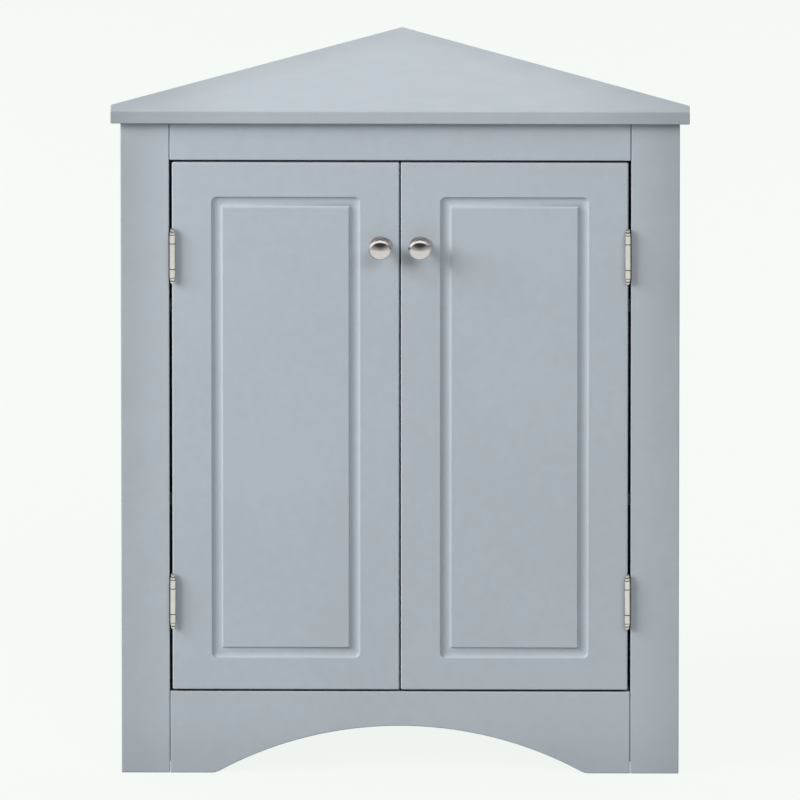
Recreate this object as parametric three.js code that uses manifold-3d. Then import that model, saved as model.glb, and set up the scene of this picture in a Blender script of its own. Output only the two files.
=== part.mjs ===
// A free-standing corner cupboard: a triangular case behind a framed front with two flush doors.
// Lengths are millimetres. Inside the case x runs right, y from the front frame's face to the back
// corner, and z up from the floor. The finished group's origin is the middle of its footprint.

import * as THREE from 'three';
import { mergeVertices } from 'three/addons/utils/BufferGeometryUtils.js';
import Module from 'manifold-3d';

const wasm = await Module();
wasm.setup();

// Case
const overallHeight = 800;
const frontWidth = 645; // across both stiles
const boardThickness = 15; // every board of the case
const stileWidth = 56;
const topRailHeight = 47;
const bottomRailHeight = 98.4;
const stileBevel = 3; // back corner of a stile, cut along the wall
const topOverhang = 12.5; // past the front frame's face
const endOverhang = 11.3; // past the front frame's two ends
const wallOverhang = 10; // past the two side panels
const battenLeg = 22; // each short side of the triangular battens behind the stiles
const seam = 0.3; // joint line between two fixed pieces
const railSeam = 0.6; // joint line between a rail and the stiles
const easing = 0.6; // of the case boards' faces
const cornerRadius = 1.2; // of the corners of their outlines
const overrun = 4; // how far a cutter starts outside what it cuts

// Arch under the bottom rail
const archInset = 53; // each stile to where the arch springs from the floor
const archRise = 57;
const archToe = 5.5; // rounded corner where the arch meets the foot

// Doors
const doorThickness = 15;
const doorTopGap = 3;
const doorBottomGap = 2.4;
const meetingGap = 1.7;
const doorEasing = 1.3; // rounding of the door boards' edges
const doorCornerRadius = 2.2;
const grooveSideInset = 45.5; // door edge to the outer edge of the routed groove
const grooveTopInset = 41.1;
const grooveFootInset = 38.5;
const grooveWidth = 12.8;
const grooveDepth = 3.2;

// Hinges, two to a door
const hingeHeight = 51; // over the knuckles
const hingeBelowDoorTop = 111.1; // to the middle of the upper hinge
const hingeAboveDoorFoot = 107.7; // to the middle of the lower hinge
const knuckleRadius = 3.5;
const endKnuckleHeight = 9.7;
const knuckleGap = 0.9;
const barrelStandOff = 0.4; // barrel to the face of the frame
const hingePinRadius = 1.5;
const hingePinClearance = 0.3;
const finialCollarRadius = 3.1;
const finialCollarHeight = 3.4;
const finialWaistRadius = 1.8;
const finialBallRadius = 2.5;
const leafThickness = 1.2;
const leafGap = 0.3; // wood to leaf, and leaf to leaf
const leafDepth = 13.5; // from the face of the frame
const leafScrewSpacing = 30;
const leafScrewFromBack = 5.2;
const leafHoleRadius = 1.7;
const countersinkRadius = 2.9;

// Knobs and the screws that hold them
const knobFromMeetingEdge = 22.1;
const knobBelowDoorTop = 98.4;
const knobProjection = 29;
const knobWideningShare = 1.16; // the oval knob's width to its height
const knobHeadRadius = 11.7; // upwards, as are the knob's other radii
const knobFaceRadius = 9.8; // at the crease between the bevel and the domed face
const knobCrownRadius = 3.9; // where the domed face has turned flat
const knobDomeHeight = 4.1;
const knobRimLength = 3.6; // with the bevel
const knobBevelLength = 2.5;
const knobUnderside = 6.5; // length of the flare from neck to rim
const knobBaseRadius = 9.5;
const knobBaseThickness = 2.2;
const knobNeckRadius = 5;
const knobEasing = 0.7;
const knobThreadDepth = 12;
const knobScrewRadius = 1.9;
const knobScrewHold = 10; // thread inside the knob
const knobScrewHeadRadius = 4.1;
const knobScrewHeadHeight = 2.6;
const threadClearance = 0.25;

// Shelves and their pins
const shelfThickness = 15;
const shelfSetback = 5; // behind the doors
const shelfClearance = 2.2; // to the side panels
const lowerShelfUnderside = 318;
const upperShelfUnderside = 551;
const pinHolesPerShelf = 3;
const pinHolePitch = 32;
const pinFromBack = 95; // along the side panel, from the inner back corner
const pinFromBatten = 60; // along the side panel, from the batten
const pinRadius = 2.4;
const pinHoldDepth = 8;
const pinReach = 9.5; // under the shelf
const pinFlangeRadius = 3.9;
const pinFlangeThickness = 1.2;
const pinHoleRadius = 2.6;
const pinHoleDepth = 9;

// Cam locks
const camRadius = 7.4;
const camLength = 11.5;
const camPocketRadius = 7.6;
const camFromEdge = 24; // board edge to the cam's axis
const camSlotWidth = 1.8;
const camSlotDepth = 3;
const camFromBatten = 34; // along the side panel
const camFromBack = 60;

// Double magnetic catch on the floor of the case, and its strikes on the doors
const catchHeight = 19;
const catchDepth = 14;
const catchWidth = 58;
const catchEarLength = 12;
const catchEarThickness = 2.4;
const catchWall = 1.6;
const magnetSpacing = 30; // between the two magnets' middles
const magnetWidth = 15;
const magnetThickness = 4.4;
const magnetDepth = 9;
const magnetSetback = 1; // behind the pole plates' working edge
const polePlateThickness = 1.2;
const polePlateProud = 0.8; // in front of the housing
const catchFit = 0.25; // round the magnets and plates in the housing
const strikeGap = 0.3; // strike to pole plates when shut
const strikeWidth = 17;
const strikeHeight = 11;
const strikeThickness = 1.2;
const smallScrewRadius = 1.3;
const smallScrewLength = 10;
const smallScrewHeadRadius = 2.7;
const smallScrewHeadHeight = 1.8;

// Facets of the round pieces
const roundSides = 20;
const smallSides = 10;
const knobSides = 28;
const archSegments = 18;
const cornerSegments = 2;
const curveSegments = 4;
const grooveSegments = 8;
const mergeTolerance = 1e-3;

// Places that several boards share
const rootTwo = Math.SQRT2;
const halfFront = frontWidth / 2;
const edgeReturn = boardThickness - stileBevel; // square side of a stile
const topUnderside = overallHeight - boardThickness;
const wallLine = halfFront + edgeReturn; // x + y on the outer face of a side panel
const innerLine = wallLine - boardThickness * rootTwo; // x + y on its inner face
const topLine = wallLine + wallOverhang * rootTwo;
const behindFrame = boardThickness + seam;
const battenFace = innerLine - seam * rootTwo - behindFrame - battenLeg; // x of its bare side
const openingHalf = halfFront - stileWidth;
const openingTop = topUnderside - topRailHeight;
const archHalfSpan = openingHalf - archInset;
const doorSideGap = 2 * leafThickness + 3 * leafGap;
const doorWidth = openingHalf - doorSideGap - meetingGap / 2;
const doorFoot = bottomRailHeight + doorBottomGap;
const doorHeight = openingTop - doorTopGap - doorFoot;
const hingeAxisX = openingHalf - leafGap - knuckleRadius;
const hingeAxisY = -knuckleRadius - barrelStandOff;
const doorEdgeFromAxis = openingHalf - doorSideGap - hingeAxisX; // door edge past the hinge axis

// Finishes
function finish(color, roughness, metalness) {
  return new THREE.MeshStandardMaterial({ color, roughness, metalness });
}

const paint = finish(0xabb4bc, 0.5, 0);
const nickel = finish(0xc9c4bc, 0.3, 1);
const zinc = finish(0xb4b6b8, 0.45, 1);
const steel = finish(0xa8abad, 0.4, 1);
const plastic = finish(0xe9e9e4, 0.55, 0);
const ferrite = finish(0x2b2c2e, 0.8, 0);

// Solids

function solid(geometry) {
  const bare = geometry.clone();
  bare.deleteAttribute('normal');
  bare.deleteAttribute('uv');
  const merged = mergeVertices(bare, mergeTolerance);
  const triVerts = new Uint32Array(merged.index.array);
  const vertProperties = merged.attributes.position.array;
  return new wasm.Manifold(new wasm.Mesh({ numProp: 3, vertProperties, triVerts }));
}

function piece(name, made, material) {
  const { vertProperties, triVerts } = made.getMesh();
  const geometry = new THREE.BufferGeometry();
  geometry.setAttribute('position', new THREE.BufferAttribute(vertProperties, 3));
  geometry.setIndex(new THREE.BufferAttribute(triVerts, 1));
  const mesh = new THREE.Mesh(geometry.toNonIndexed(), material);
  mesh.geometry.computeVertexNormals();
  mesh.name = name;
  return mesh;
}

// An outline's slab, standing on z = 0, with the edges of both faces eased.
function easedSlab(shape, thickness, ease, bevelSegments, segments) {
  const options = {
    depth: thickness - 2 * ease,
    bevelThickness: ease,
    bevelSize: ease,
    bevelOffset: -ease,
    bevelSegments,
    curveSegments: segments,
  };
  return new THREE.ExtrudeGeometry(shape, options).translate(0, 0, ease);
}

function polygon(points) {
  return new THREE.Shape(points.map(([x, y]) => new THREE.Vector2(x, y)));
}

// A polygon with each corner rounded to about the radius, whatever its angle.
function roundedPolygon(points, radius) {
  const shape = new THREE.Shape();
  const corners = points.map(([x, y]) => new THREE.Vector2(x, y));
  corners.forEach((corner, i) => {
    const before = corners.at(i - 1);
    const after = corners.at((i + 1) % corners.length);
    const backwards = before.clone().sub(corner);
    const forwards = after.clone().sub(corner);
    const cut = radius / Math.tan(backwards.angleTo(forwards) / 2);
    const start = corner.clone().lerp(before, cut / backwards.length());
    const end = corner.clone().lerp(after, cut / forwards.length());
    if (i === 0) {
      shape.moveTo(start.x, start.y);
    } else {
      shape.lineTo(start.x, start.y);
    }
    shape.quadraticCurveTo(corner.x, corner.y, end.x, end.y);
  });
  return shape;
}

// A board drawn from above, between two heights.
function planBoard(points, foot, thickness) {
  const slab = easedSlab(roundedPolygon(points, cornerRadius), thickness, easing, 1, cornerSegments);
  return solid(slab.translate(0, 0, foot));
}

// A board drawn from the front: the outline's y becomes height, and its face is turned to the front.
function frontBoard(shape, ease, bevelSegments, segments) {
  const slab = easedSlab(shape, boardThickness, ease, bevelSegments, segments);
  return solid(slab.rotateX(Math.PI / 2).translate(0, boardThickness, 0));
}

// A block between two corners.
function block(low, high) {
  const size = high.map((value, i) => value - low[i]);
  const middle = high.map((value, i) => (value + low[i]) / 2);
  return solid(new THREE.BoxGeometry(...size).translate(...middle));
}

// A solid of revolution about +z. The profile holds [radius, height] pairs.
function turned(profile, sides) {
  const points = profile.map(([radius, height]) => new THREE.Vector2(radius, height));
  return new THREE.LatheGeometry(points, sides).rotateX(Math.PI / 2);
}

function rod(radius, from, to, sides) {
  return turned([[0, from], [radius, from], [radius, to], [0, to]], sides);
}

const up = new THREE.Vector3(0, 0, 1);
const towards = (direction) => new THREE.Quaternion().setFromUnitVectors(up, direction);

// A round hole from a point on a face into the wood.
function bore(point, inwards, radius, depth, sides = smallSides) {
  const cutter = rod(radius, -overrun, depth, sides).applyQuaternion(towards(inwards));
  return solid(cutter.translate(point.x, point.y, point.z));
}

function aimed(mesh, point, direction) {
  mesh.position.copy(point);
  mesh.quaternion.copy(towards(direction));
  return mesh;
}

const drilled = (board, holes) => holes.reduce((left, hole) => left.subtract(hole), board);
const sides = [['left', -1], ['right', 1]];
const along = (x, y, z) => new THREE.Vector3(x, y, z).normalize();

// Case boards

// The five-sided outline of the top, floor and shelves: a front edge, two short returns, and two
// edges along the walls that meet at the back corner.
function cornerOutline(half, front, line) {
  return [[-half, front], [half, front], [half, line - half], [0, line], [-half, line - half]];
}

// A point on the inner face of a side panel, measured from the inner back corner.
function wallPoint(side, distance, height) {
  return new THREE.Vector3((side * distance) / rootTwo, innerLine - distance / rootTwo, height);
}

const intoWall = (side) => along(side, 1, 0);
const outOfWall = (side) => along(-side, -1, 0);
const battenDistance = (innerLine - behindFrame - battenLeg) * rootTwo;

function topBoard() {
  const outline = cornerOutline(halfFront + endOverhang, -topOverhang, topLine);
  return piece('top_board', planBoard(outline, topUnderside, boardThickness), paint);
}

function stile(name, side) {
  const outline = [
    [side * openingHalf, 0],
    [side * halfFront, 0],
    [side * halfFront, edgeReturn],
    [side * (wallLine - boardThickness), boardThickness],
    [side * openingHalf, boardThickness],
  ];
  return piece(`${name}_stile`, planBoard(outline, 0, topUnderside - seam), paint);
}

const railHalf = openingHalf - railSeam;
const topRailMiddle = openingTop + topRailHeight / 2;
const bottomCamHeight = bottomRailHeight - camFromEdge - boardThickness;

function railCamPoints(height) {
  const reach = railHalf - camFromEdge;
  return sides.map(([name, side]) => [name, new THREE.Vector3(side * reach, boardThickness, height)]);
}

const camPocket = (point, inwards) => bore(point, inwards, camPocketRadius, camLength + seam, roundSides);

function topRail() {
  const rise = topUnderside - seam;
  const outline = [[-railHalf, openingTop], [railHalf, openingTop], [railHalf, rise], [-railHalf, rise]];
  const board = frontBoard(roundedPolygon(outline, cornerRadius), easing, 1, cornerSegments);
  const pockets = railCamPoints(topRailMiddle).map(([, point]) => camPocket(point, along(0, -1, 0)));
  return piece('top_rail', drilled(board, pockets), paint);
}

// The arch is one arc of a circle, with a small rounded toe at each foot.
function bottomRail() {
  const radius = (archHalfSpan ** 2 + archRise ** 2) / (2 * archRise);
  const centre = archRise - radius;
  const reach = archHalfSpan - archToe;
  const toeAngle = Math.acos(reach / radius);
  const toeRise = centre + radius * Math.sin(toeAngle);
  const shape = new THREE.Shape();
  shape.moveTo(-railHalf, 0);
  shape.lineTo(-archHalfSpan - archToe, 0);
  shape.quadraticCurveTo(-archHalfSpan, 0, -reach, toeRise);
  shape.absarc(0, centre, radius, Math.PI - toeAngle, toeAngle, true);
  shape.quadraticCurveTo(archHalfSpan, 0, archHalfSpan + archToe, 0);
  shape.lineTo(railHalf, 0);
  shape.lineTo(railHalf, bottomRailHeight);
  shape.lineTo(-railHalf, bottomRailHeight);
  const board = frontBoard(shape, easing, 1, archSegments);
  const pockets = railCamPoints(bottomCamHeight).map(([, point]) => camPocket(point, along(0, -1, 0)));
  return piece('bottom_rail', drilled(board, pockets), paint);
}

const topCamHeight = topUnderside - seam - camFromEdge;
const topCamPlaces = [['front', battenDistance - camFromBatten], ['back', camFromBack]];
const pinPlaces = [['front', battenDistance - pinFromBatten], ['back', pinFromBack]];
const shelves = [['lower', lowerShelfUnderside], ['upper', upperShelfUnderside]];
const pinHeight = (underside) => underside - seam - pinRadius;

function pinHoles(side) {
  const holes = [];
  for (const [, underside] of shelves) {
    for (const [, distance] of pinPlaces) {
      for (let step = 0; step < pinHolesPerShelf; step += 1) {
        const height = pinHeight(underside) + (step - (pinHolesPerShelf - 1) / 2) * pinHolePitch;
        holes.push(bore(wallPoint(side, distance, height), intoWall(side), pinHoleRadius, pinHoleDepth));
      }
    }
  }
  return holes;
}

// The left panel runs to the back corner and the right one butts against its inner face.
function sidePanel(name, side) {
  const buttLine = innerLine - seam * rootTwo;
  const backOfThrough = [
    [0, wallLine],
    [(-side * boardThickness) / rootTwo, wallLine - boardThickness / rootTwo],
  ];
  const backOfButted = [
    [(side * (wallLine - buttLine)) / 2, (wallLine + buttLine) / 2],
    [(side * (innerLine - buttLine)) / 2, (innerLine + buttLine) / 2],
  ];
  const outline = [
    [side * (wallLine - behindFrame), behindFrame],
    ...(side < 0 ? backOfThrough : backOfButted),
    [side * (innerLine - behindFrame), behindFrame],
  ];
  const pockets = topCamPlaces.map(([, distance]) => {
    return camPocket(wallPoint(side, distance, topCamHeight), intoWall(side));
  });
  const board = planBoard(outline, 0, topUnderside - seam);
  return piece(`${name}_side_panel`, drilled(board, [...pockets, ...pinHoles(side)]), paint);
}

function cornerBatten(name, side) {
  const tip = innerLine - seam * rootTwo - behindFrame;
  const outline = [
    [side * tip, behindFrame],
    [side * battenFace, behindFrame + battenLeg],
    [side * battenFace, behindFrame],
  ];
  return piece(`${name}_corner_batten`, planBoard(outline, 0, topUnderside - seam), paint);
}

const catchFace = doorThickness + strikeThickness + strikeGap + polePlateProud; // front of the housing
const catchScrewX = catchWidth / 2 + catchEarLength / 2;
const catchScrewY = catchFace + catchDepth / 2;
const catchScrewPoint = (side) => new THREE.Vector3(side * catchScrewX, catchScrewY, bottomRailHeight);

function bottomPanel() {
  const outline = cornerOutline(battenFace - seam, behindFrame, innerLine - seam * rootTwo);
  const radius = smallScrewRadius + threadClearance;
  const down = along(0, 0, -1);
  const pilots = sides.map(([, side]) => bore(catchScrewPoint(side), down, radius, smallScrewLength));
  const board = planBoard(outline, bottomRailHeight - boardThickness, boardThickness);
  return piece('bottom_panel', drilled(board, pilots), paint);
}

function shelf(name, underside) {
  const front = doorThickness + shelfSetback;
  const outline = cornerOutline(battenFace - shelfClearance, front, innerLine - shelfClearance * rootTwo);
  return piece(`${name}_shelf`, planBoard(outline, underside, shelfThickness), paint);
}

// Fittings of the case

function shelfPin(name, side, distance, underside) {
  const profile = [
    [0, -pinHoldDepth],
    [pinRadius, -pinHoldDepth],
    [pinRadius, seam],
    [pinFlangeRadius, seam],
    [pinFlangeRadius, pinFlangeThickness + seam],
    [pinRadius, pinFlangeThickness + seam],
    [pinRadius, pinReach],
    [0, pinReach],
  ];
  const pin = piece(`${name}_shelf_pin`, solid(turned(profile, smallSides)), zinc);
  return aimed(pin, wallPoint(side, distance, pinHeight(underside)), outOfWall(side));
}

function camLock(name, point, outwards) {
  const arm = camRadius - camSlotWidth;
  const slots = [[arm, camSlotWidth / 2], [camSlotWidth / 2, arm]].map(([x, y]) =>
    block([-x, -y, -camSlotDepth], [x, y, overrun]),
  );
  const body = solid(rod(camRadius, -camLength, -seam, roundSides));
  return aimed(piece(`${name}_cam_lock`, drilled(body, slots), zinc), point, outwards);
}

function camLocks() {
  const group = new THREE.Group();
  for (const [name, point] of railCamPoints(topRailMiddle)) {
    group.add(camLock(`top_rail_${name}`, point, along(0, 1, 0)));
  }
  for (const [name, point] of railCamPoints(bottomCamHeight)) {
    group.add(camLock(`bottom_rail_${name}`, point, along(0, 1, 0)));
  }
  for (const [name, side] of sides) {
    for (const [place, distance] of topCamPlaces) {
      const point = wallPoint(side, distance, topCamHeight);
      group.add(camLock(`${name}_panel_${place}`, point, outOfWall(side)));
    }
  }
  return group;
}

// A pan-headed screw, driven along -z from its seat at z = 0.
function panScrew(radius, length, headRadius, headHeight) {
  const crownShare = 0.7;
  const profile = [
    [0, -length],
    [radius, -length + radius],
    [radius, 0],
    [headRadius, 0],
    [headRadius, headHeight / 2],
    [headRadius * crownShare, headHeight],
    [0, headHeight],
  ];
  return solid(turned(profile, smallSides));
}

// Magnetic catch, placed on the case floor behind the doors' meeting edges.

const slotHeight = magnetThickness + 2 * polePlateThickness + 4 * catchFit;
const slotFoot = (catchHeight - slotHeight) / 2;
const slotWidth = magnetWidth + 2 * catchFit;
const poleDepth = magnetDepth + magnetSetback;
const slotDepth = poleDepth - polePlateProud + catchFit;

function catchHousing() {
  const half = catchWidth / 2;
  const reach = half + catchEarLength;
  const roof = [[-half, 0], [half, 0], [half, catchDepth - catchWall], [half - catchWall, catchDepth],
    [catchWall - half, catchDepth], [-half, catchDepth - catchWall]];
  const body = solid(easedSlab(polygon(roof), catchHeight, catchWall / 2, 1, 1));
  const ears = block([-reach, catchWall, 0], [reach, catchDepth - catchWall, catchEarThickness]);
  const cuts = sides.map(([, side]) => {
    const middle = (side * magnetSpacing) / 2;
    return block(
      [middle - slotWidth / 2, -overrun, slotFoot],
      [middle + slotWidth / 2, slotDepth, slotFoot + slotHeight],
    );
  });
  const holes = sides.map(([, side]) => {
    const seat = new THREE.Vector3(side * catchScrewX, catchDepth / 2, catchEarThickness);
    return bore(seat, along(0, 0, -1), smallScrewRadius + threadClearance, catchEarThickness + overrun);
  });
  return piece('catch_housing', drilled(body.add(ears), [...cuts, ...holes]), plastic);
}

function magneticCatch() {
  const group = new THREE.Group();
  group.position.set(0, catchFace, bottomRailHeight + seam);
  group.add(catchHousing());
  for (const [name, side] of sides) {
    const middle = (side * magnetSpacing) / 2;
    const left = middle - magnetWidth / 2;
    const right = middle + magnetWidth / 2;
    const front = -polePlateProud;
    const back = front + poleDepth;
    const lowFoot = slotFoot + catchFit;
    const magnetFoot = lowFoot + polePlateThickness + catchFit;
    const highFoot = magnetFoot + magnetThickness + catchFit;
    const setBack = front + magnetSetback;
    const magnet = block([left, setBack, magnetFoot], [right, back, magnetFoot + magnetThickness]);
    const plate = (foot) => block([left, front, foot], [right, back, foot + polePlateThickness]);
    group.add(piece(`${name}_catch_magnet`, magnet, ferrite));
    group.add(piece(`${name}_lower_pole_plate`, plate(lowFoot), steel));
    group.add(piece(`${name}_upper_pole_plate`, plate(highFoot), steel));
    const made = panScrew(smallScrewRadius, smallScrewLength, smallScrewHeadRadius, smallScrewHeadHeight);
    const screw = piece(`${name}_catch_screw`, made, zinc);
    screw.position.set(side * catchScrewX, catchDepth / 2, catchEarThickness + seam);
    group.add(screw);
  }
  return group;
}

const strikeMiddle = bottomRailHeight + seam + catchHeight / 2;

// Hinges. Each is drawn for the right-hand door about its pin: the frame's edge lies at +x, the
// doors at -x, and both leaves run back into the gap between them.

const endKnuckleFoot = hingeHeight / 2 - endKnuckleHeight;
const knuckleHole = hingePinRadius + hingePinClearance;

function knuckle(from, to) {
  return solid(rod(knuckleRadius, from, to, roundSides)).subtract(
    solid(rod(knuckleHole, from - overrun, to + overrun, smallSides)),
  );
}

// A countersunk hole through a leaf, sunk from the face that looks at the other leaf.
function countersunk(faceX, towardsX, y, z) {
  const profile = [
    [0, -overrun],
    [leafHoleRadius, -overrun],
    [leafHoleRadius, 0],
    [countersinkRadius, leafThickness],
    [countersinkRadius, leafThickness + leafGap / 2],
    [0, leafThickness + leafGap / 2],
  ];
  const cutter = turned(profile, smallSides).applyQuaternion(towards(along(towardsX, 0, 0)));
  return solid(cutter.translate(faceX, y, z));
}

const leafBack = leafDepth - hingeAxisY;
const leafHoleHeights = [-leafScrewSpacing / 2, leafScrewSpacing / 2];
const leafHoleBack = leafBack - leafScrewFromBack;

function frameLeaf() {
  const outer = knuckleRadius;
  const inner = knuckleRadius - leafThickness;
  const plate = block([inner, 0, -hingeHeight / 2], [outer, leafBack, hingeHeight / 2]);
  const relief = solid(rod(knuckleRadius + knuckleGap, -endKnuckleFoot, endKnuckleFoot, roundSides));
  const holes = leafHoleHeights.map((height) => countersunk(outer, -1, leafHoleBack, height));
  const pinWay = solid(rod(knuckleHole, -hingeHeight, hingeHeight, smallSides));
  return drilled(plate, [relief, ...holes, pinWay])
    .add(knuckle(endKnuckleFoot, hingeHeight / 2))
    .add(knuckle(-hingeHeight / 2, -endKnuckleFoot));
}

function doorLeaf() {
  const outer = knuckleRadius - leafThickness - leafGap;
  const inner = outer - leafThickness;
  const middleTop = endKnuckleFoot - knuckleGap;
  const start = (knuckleHole + knuckleRadius) / 2;
  const plate = block([inner, start, -hingeHeight / 2], [outer, leafBack, hingeHeight / 2]);
  const reliefs = [[middleTop, hingeHeight], [-hingeHeight, -middleTop]].map(([from, to]) =>
    solid(rod(knuckleRadius + knuckleGap, from, to, roundSides)),
  );
  const holes = leafHoleHeights.map((height) => countersunk(inner, 1, leafHoleBack, height));
  return drilled(plate, [...reliefs, ...holes]).add(knuckle(-middleTop, middleTop));
}

// A pin with a turned finial at each end: a collar, a waist and a ball.
function hingePin() {
  const seat = hingeHeight / 2 + knuckleGap / 2;
  const waist = seat + finialCollarHeight;
  const waistAngle = Math.acos(finialWaistRadius / finialBallRadius);
  const path = new THREE.Path();
  path.moveTo(hingePinRadius, seat);
  path.lineTo(finialCollarRadius, seat);
  path.lineTo(finialCollarRadius, (seat + waist) / 2);
  path.quadraticCurveTo(finialCollarRadius, waist, finialWaistRadius, waist);
  const ballCentre = waist + finialBallRadius * Math.sin(waistAngle);
  path.absarc(0, ballCentre, finialBallRadius, -waistAngle, Math.PI / 2, false);
  const upper = path.getPoints(curveSegments - 1).map(({ x, y }) => [x, y]);
  const lower = upper.map(([radius, height]) => [radius, -height]).reverse();
  return solid(turned([...lower, ...upper], smallSides));
}

const hingeHeights = [
  ['upper', doorFoot + doorHeight - hingeBelowDoorTop],
  ['lower', doorFoot + hingeAboveDoorFoot],
];

// The left hinge is the right one mirrored across the case's middle plane.
const handed = (made, side) => (side > 0 ? made : made.mirror([1, 0, 0]));

function hingeFixedHalf(name, side) {
  const group = new THREE.Group();
  group.position.set(side * hingeAxisX, hingeAxisY, 0);
  for (const [level, height] of hingeHeights) {
    const leaf = piece(`${name}_${level}_hinge_frame_leaf`, handed(frameLeaf(), side), nickel);
    const pin = piece(`${name}_${level}_hinge_pin`, hingePin(), nickel);
    leaf.position.z = height;
    pin.position.z = height;
    group.add(leaf, pin);
  }
  return group;
}

// Doors

// The round-nosed cutter that routes the groove: half an ellipse below the face.
function cutterProfile() {
  const half = grooveWidth / 2;
  const points = [[half, overrun]];
  for (let step = 0; step <= grooveSegments; step += 1) {
    const angle = (Math.PI / 2) * (step / grooveSegments);
    points.push([half * Math.cos(angle), -grooveDepth * Math.sin(angle)]);
  }
  return points;
}

// The groove of a raised field: four straight passes, and the cutter's own shape at each corner,
// which leaves the outer corners round and the field's corners sharp. The door's face is at y = 0.
function groove() {
  const half = grooveWidth / 2;
  const left = grooveSideInset + half;
  const right = doorWidth - grooveSideInset - half;
  const low = grooveFootInset + half;
  const high = doorHeight - grooveTopInset - half;
  const profile = cutterProfile();
  const mirrored = profile.slice(0, -1).map(([x, y]) => [-x, y]).reverse();
  const section = polygon([...profile, ...mirrored]);
  const pass = (length) => new THREE.ExtrudeGeometry(section, { depth: length, bevelEnabled: false });
  const upright = (x) => solid(pass(high - low).rotateZ(Math.PI).translate(x, 0, low));
  const across = pass(right - left).rotateZ(Math.PI).rotateY(Math.PI / 2);
  const level = (z) => solid(across.clone().translate(left, 0, z));
  const tip = [[0, overrun], ...profile].map(([radius, y]) => [radius, -y]);
  const turn = turned(tip, roundSides).rotateX(-Math.PI / 2);
  const corner = (x, z) => solid(turn.clone().translate(x, 0, z));
  return [
    upright(left), upright(right), level(low), level(high),
    corner(left, low), corner(left, high), corner(right, low), corner(right, high),
  ].reduce((whole, cut) => whole.add(cut));
}

const strikeFromHingeEdge = doorWidth + meetingGap / 2 - magnetSpacing / 2;

// Drawn for the left-hand door, from its hinge edge at x = 0 to its meeting edge.
function doorBoard() {
  const outline = [[0, 0], [doorWidth, 0], [doorWidth, doorHeight], [0, doorHeight]];
  const rounded = roundedPolygon(outline, doorCornerRadius);
  const slab = easedSlab(rounded, doorThickness, doorEasing, 3, curveSegments);
  const board = solid(slab.rotateX(Math.PI / 2).translate(0, doorThickness, 0));
  const knobHole = bore(
    new THREE.Vector3(doorWidth - knobFromMeetingEdge, 0, doorHeight - knobBelowDoorTop),
    along(0, 1, 0),
    knobScrewRadius + threadClearance,
    doorThickness + overrun,
  );
  const strikeHole = bore(
    new THREE.Vector3(strikeFromHingeEdge, doorThickness, strikeMiddle - doorFoot),
    along(0, -1, 0),
    smallScrewRadius + threadClearance,
    smallScrewLength,
  );
  return drilled(board, [groove(), knobHole, strikeHole]);
}

// An oval mushroom knob along +z, wide across x, with its seat at z = 0 and a threaded hole from it.
function knob() {
  const threadRadius = knobScrewRadius + threadClearance;
  const crease = knobProjection - knobDomeHeight;
  const rimBack = crease - knobRimLength;
  const path = new THREE.Path();
  path.moveTo(0, 0);
  path.lineTo(knobBaseRadius, 0);
  path.lineTo(knobBaseRadius, knobBaseThickness - knobEasing);
  path.lineTo(knobBaseRadius - knobEasing, knobBaseThickness);
  const cove = knobBaseRadius - knobNeckRadius;
  path.quadraticCurveTo(knobNeckRadius, knobBaseThickness, knobNeckRadius, knobBaseThickness + cove);
  path.lineTo(knobNeckRadius, rimBack - knobUnderside);
  path.quadraticCurveTo(knobNeckRadius, rimBack, knobHeadRadius - knobEasing, rimBack);
  path.lineTo(knobHeadRadius, rimBack + knobEasing);
  path.lineTo(knobHeadRadius, crease - knobBevelLength);
  path.lineTo(knobFaceRadius, crease);
  path.quadraticCurveTo(knobCrownRadius, knobProjection, 0, knobProjection);
  const outline = path.getPoints(curveSegments).map(({ x, y }) => [x, y]);
  const head = solid(turned(outline, knobSides)).scale([knobWideningShare, 1, 1]);
  return head.subtract(solid(rod(threadRadius, -overrun, knobThreadDepth, smallSides)));
}

// A thin plate with a screw sunk flush in its middle, facing the catch along +y.
function strikePlate() {
  const sink = turned([
    [0, -overrun],
    [smallScrewRadius + threadClearance, -overrun],
    [smallScrewRadius + threadClearance, 0],
    [smallScrewHeadRadius + threadClearance, strikeThickness],
    [smallScrewHeadRadius + threadClearance, strikeThickness + overrun],
    [0, strikeThickness + overrun],
  ], smallSides).rotateX(-Math.PI / 2);
  const plate = block(
    [-strikeWidth / 2, seam, -strikeHeight / 2],
    [strikeWidth / 2, strikeThickness, strikeHeight / 2],
  );
  return plate.subtract(solid(sink));
}

function strikeScrew() {
  const profile = [
    [0, seam - smallScrewLength],
    [smallScrewRadius, seam - smallScrewLength + smallScrewRadius],
    [smallScrewRadius, 0],
    [smallScrewHeadRadius, strikeThickness],
    [0, strikeThickness],
  ];
  return solid(turned(profile, smallSides).rotateX(-Math.PI / 2));
}

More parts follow.
